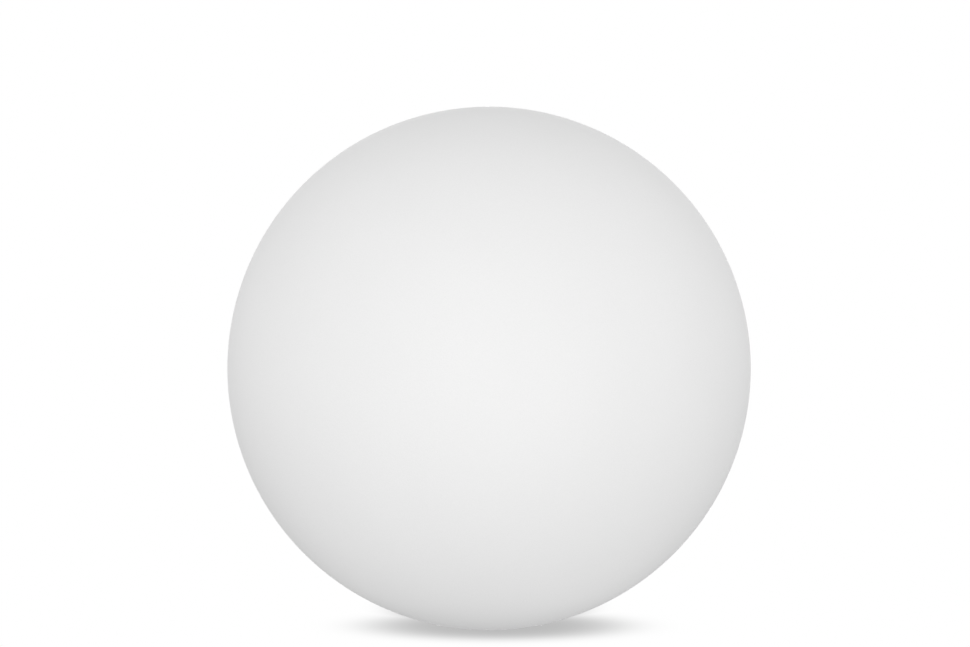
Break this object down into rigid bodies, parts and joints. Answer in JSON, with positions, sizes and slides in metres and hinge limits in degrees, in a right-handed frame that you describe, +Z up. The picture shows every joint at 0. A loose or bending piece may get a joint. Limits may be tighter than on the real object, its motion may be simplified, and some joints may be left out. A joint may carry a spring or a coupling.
{
  "type": "garden globe light",
  "caption": "Cordless outdoor globe light: a plain white moulded sphere on its own flat foot, with a rechargeable light unit that twists into the neck underneath.",
  "frame": {"origin": "on the ground, under the middle of the globe", "axes": "+Z up; the charging port lies towards -X of the power button, which is towards +X; -Y faces the viewer in the front view"},
  "size_m": [0.4, 0.4, 0.3928],
  "materials": {
    "opal_polyethylene": "matte",
    "white_plastic": "satin",
    "grey_plastic": "satin",
    "black_plastic": "satin",
    "natural_nylon": "satin",
    "opal_cover_plastic": "satin",
    "clear_plastic": "gloss",
    "black_rubber": "matte",
    "grey_silicone": "matte",
    "grey_foam": "matte",
    "brass": "satin",
    "stainless_steel": "satin",
    "nickel": "satin",
    "aluminium": "satin",
    "green_board": "satin",
    "white_board": "satin",
    "cell_sleeve": "satin",
    "dark_ferrite": "matte",
    "tan_ceramic": "satin",
    "led_body": "satin",
    "led_phosphor": "satin",
    "red_insulation": "satin",
    "black_insulation": "satin"
  },
  "bodies": {
    "globe": {"globe_shell": "opal_polyethylene", "neck_inserts": "brass", "collar_gasket": "black_rubber", "bayonet_collar": "white_plastic", "collar_screws": "stainless_steel"},
    "light_unit": {"unit_housing": "white_plastic", "collar_o_ring": "black_rubber", "cap_o_ring": "black_rubber", "cover_o_ring": "black_rubber", "base_cap": "white_plastic", "cap_screws": "stainless_steel", "status_light_guide": "clear_plastic", "breather_plug": "grey_plastic", "charge_socket": "nickel", "socket_gasket": "grey_silicone", "door_hinge_pin": "stainless_steel", "button_spring": "stainless_steel", "push_switch": "black_plastic", "control_board": "green_board", "board_screws": "stainless_steel", "status_led": "led_body", "charge_and_driver_chips": "black_plastic", "driver_coil": "dark_ferrite", "capacitors": "tan_ceramic", "battery_connector": "natural_nylon", "lead_pair_connector": "natural_nylon", "battery_cell_1": "cell_sleeve", "battery_cell_2": "cell_sleeve", "battery_cell_3": "cell_sleeve", "lower_cell_link": "nickel", "upper_cell_link": "nickel", "lower_cradle": "natural_nylon", "cradle_screws": "stainless_steel", "upper_cradle": "natural_nylon", "battery_pad": "grey_foam", "battery_lead_red": "red_insulation", "battery_lead_black": "black_insulation", "light_lead_red": "red_insulation", "light_lead_black": "black_insulation", "lead_grommet": "black_rubber", "heat_spreader": "aluminium", "led_board": "white_board", "led_packages": "led_body", "led_phosphors": "led_phosphor", "led_connector": "white_plastic", "led_board_screws": "stainless_steel", "light_cover": "opal_cover_plastic", "cover_screws": "stainless_steel"},
    "button": {"power_button": "grey_plastic", "button_o_ring": "black_rubber", "switch_plunger": "white_plastic"},
    "port_door": {"port_door": "grey_plastic", "port_door_seal": "grey_silicone"}
  },
  "joints": [
    {"name": "unit_twist", "type": "hinge", "parent": "globe", "child": "light_unit", "pos_m": [0, 0, 0], "axis": [0, 0, -1], "range_deg": [0, 60]},
    {"name": "button_press", "type": "slide", "parent": "light_unit", "child": "button", "axis": [0, 0, 1], "range_m": [0, 0.0016], "stiffness_N_per_m": 800, "springref_m": -0.0008, "deforming": ["button_spring"]},
    {"name": "port_door_swing", "type": "hinge", "parent": "light_unit", "child": "port_door", "pos_m": [-0.0198, 0, 0.0043], "axis": [0, 1, 0], "range_deg": [0, 90]}
  ]
}
